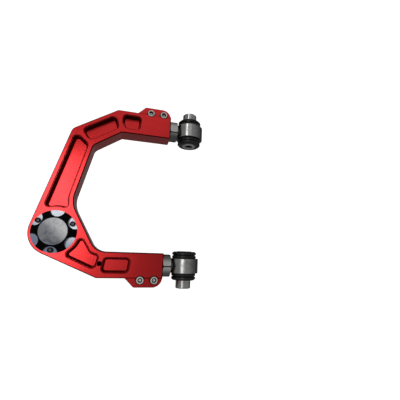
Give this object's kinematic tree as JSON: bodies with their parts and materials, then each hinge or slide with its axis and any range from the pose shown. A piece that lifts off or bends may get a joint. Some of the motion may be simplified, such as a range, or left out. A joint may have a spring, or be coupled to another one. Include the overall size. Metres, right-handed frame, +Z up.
{
  "type": "suspension control arm",
  "caption": "Adjustable billet upper control arm: U-shaped red arm with screwed bushing eyes on the pivot axis and a bolted, booted ball joint at the outer end.",
  "frame": {"origin": "on the pivot axis, midway between the two bushings, at mid-thickness of the arm", "axes": "+X inboard, away from the ball joint; +Y forward along the pivot axis, towards the long limb; +Z up, with the ball stud hanging down"},
  "size_m": [0.2906, 0.343, 0.124],
  "materials": {
    "red_anodised": "satin red anodised billet",
    "black_anodised": "satin black anodised, bare machined facets and disc",
    "stainless": "bright stainless",
    "dark_screw": "black oxide",
    "turned_steel": "dark oiled turned steel",
    "zinc_steel": "bright zinc plate",
    "ball_steel": "ground and polished",
    "race_polymer": "natural acetal",
    "spring_steel": "tempered blue-grey",
    "bush_rubber": "moulded black rubber",
    "boot_rubber": "glossy black rubber",
    "seal_rubber": "black nitrile",
    "black_wire": "black wire"
  },
  "bodies": {
    "front_sleeve": {"front_sleeve": "turned_steel"},
    "front_rod_end": {"front_rod_end": "turned_steel", "front_bush_inner_half": "bush_rubber", "front_bush_outer_half": "bush_rubber"},
    "arm": {"arm_body": "red_anodised", "ball_joint_cap": "black_anodised", "cap_screws": "dark_screw", "cap_o_ring": "seal_rubber", "ball_housing": "turned_steel", "upper_race": "race_polymer", "lower_race": "race_polymer", "preload_spring": "spring_steel", "boot_base_ring": "black_wire", "front_jam_nut": "turned_steel", "front_pinch_bolts": "stainless", "rear_jam_nut": "turned_steel", "rear_pinch_bolts": "stainless"},
    "rear_rod_end": {"rear_rod_end": "turned_steel", "rear_bush_inner_half": "bush_rubber", "rear_bush_outer_half": "bush_rubber"},
    "rear_sleeve": {"rear_sleeve": "turned_steel"},
    "dust_boot": {"dust_boot": "boot_rubber"},
    "boot_neck": {"boot_neck_ring": "black_wire"},
    "ball_stud": {"ball_stud": "ball_steel", "castle_nut": "zinc_steel", "cotter_pin": "black_wire"}
  },
  "joints": [
    {"name": "arm_swing", "type": "hinge", "parent": "front_sleeve", "child": "front_rod_end", "pos_m": [0, 0.131, 0], "axis": [0, 1, 0], "range_deg": [-25, 25], "stiffness_Nm_per_rad": 160},
    {"name": "front_adjust", "type": "slide", "parent": "front_rod_end", "child": "arm", "axis": [-1, 0, 0], "range_m": [0, 0.012]},
    {"name": "rear_adjust", "type": "slide", "parent": "arm", "child": "rear_rod_end", "axis": [1, 0, 0], "range_m": [0, 0.012]},
    {"name": "rear_sleeve_turn", "type": "hinge", "parent": "rear_rod_end", "child": "rear_sleeve", "pos_m": [0, -0.131, 0], "axis": [0, 1, 0], "range_deg": [-25, 25]},
    {"name": "stud_tilt_lateral", "type": "hinge", "parent": "arm", "child": "dust_boot", "pos_m": [-0.2245, -0.079, -0.002], "axis": [0, 1, 0], "range_deg": [-18, 18], "deforming": ["dust_boot"]},
    {"name": "stud_tilt_fore_aft", "type": "hinge", "parent": "dust_boot", "child": "boot_neck", "pos_m": [-0.2245, -0.079, -0.002], "axis": [1, 0, 0], "range_deg": [-18, 18], "deforming": ["dust_boot"]},
    {"name": "stud_spin", "type": "hinge", "parent": "boot_neck", "child": "ball_stud", "pos_m": [-0.2245, -0.079, -0.002], "axis": [0, 0, 1], "continuous": true}
  ],
  "couplings": [
    {"joint": "rear_sleeve_turn", "follows": "arm_swing", "ratio": -1}
  ]
}
